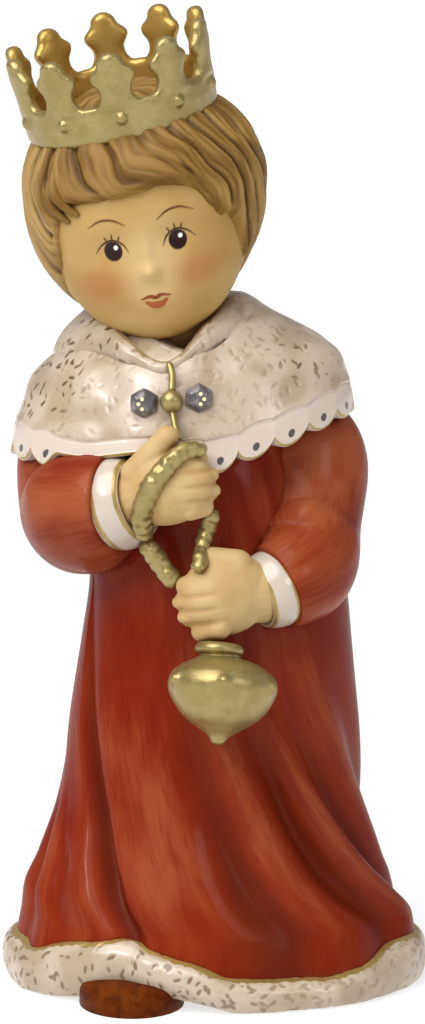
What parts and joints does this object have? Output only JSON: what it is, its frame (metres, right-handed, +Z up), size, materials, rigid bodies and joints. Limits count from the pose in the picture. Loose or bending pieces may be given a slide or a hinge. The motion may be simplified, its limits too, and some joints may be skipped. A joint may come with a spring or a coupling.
{
  "type": "nativity figurine",
  "caption": "Glazed ceramic nativity king shown as a crowned child in a red robe and fur cape, holding a censer on a chain.",
  "frame": {"origin": "on the ground under the middle of the figure's bounding box", "axes": "+Z up through the head, the figure looks along -Y, +X is the figure's left hand side"},
  "size_m": [0.0615, 0.0544, 0.1399],
  "materials": {
    "glazed_ceramic": "painted and partly glazed: satin red robe, glossy cream fur, matte skin and hair, satin gold crown and censer"
  },
  "bodies": {
    "root": {"figurine": "glazed_ceramic"}
  },
  "joints": []
}
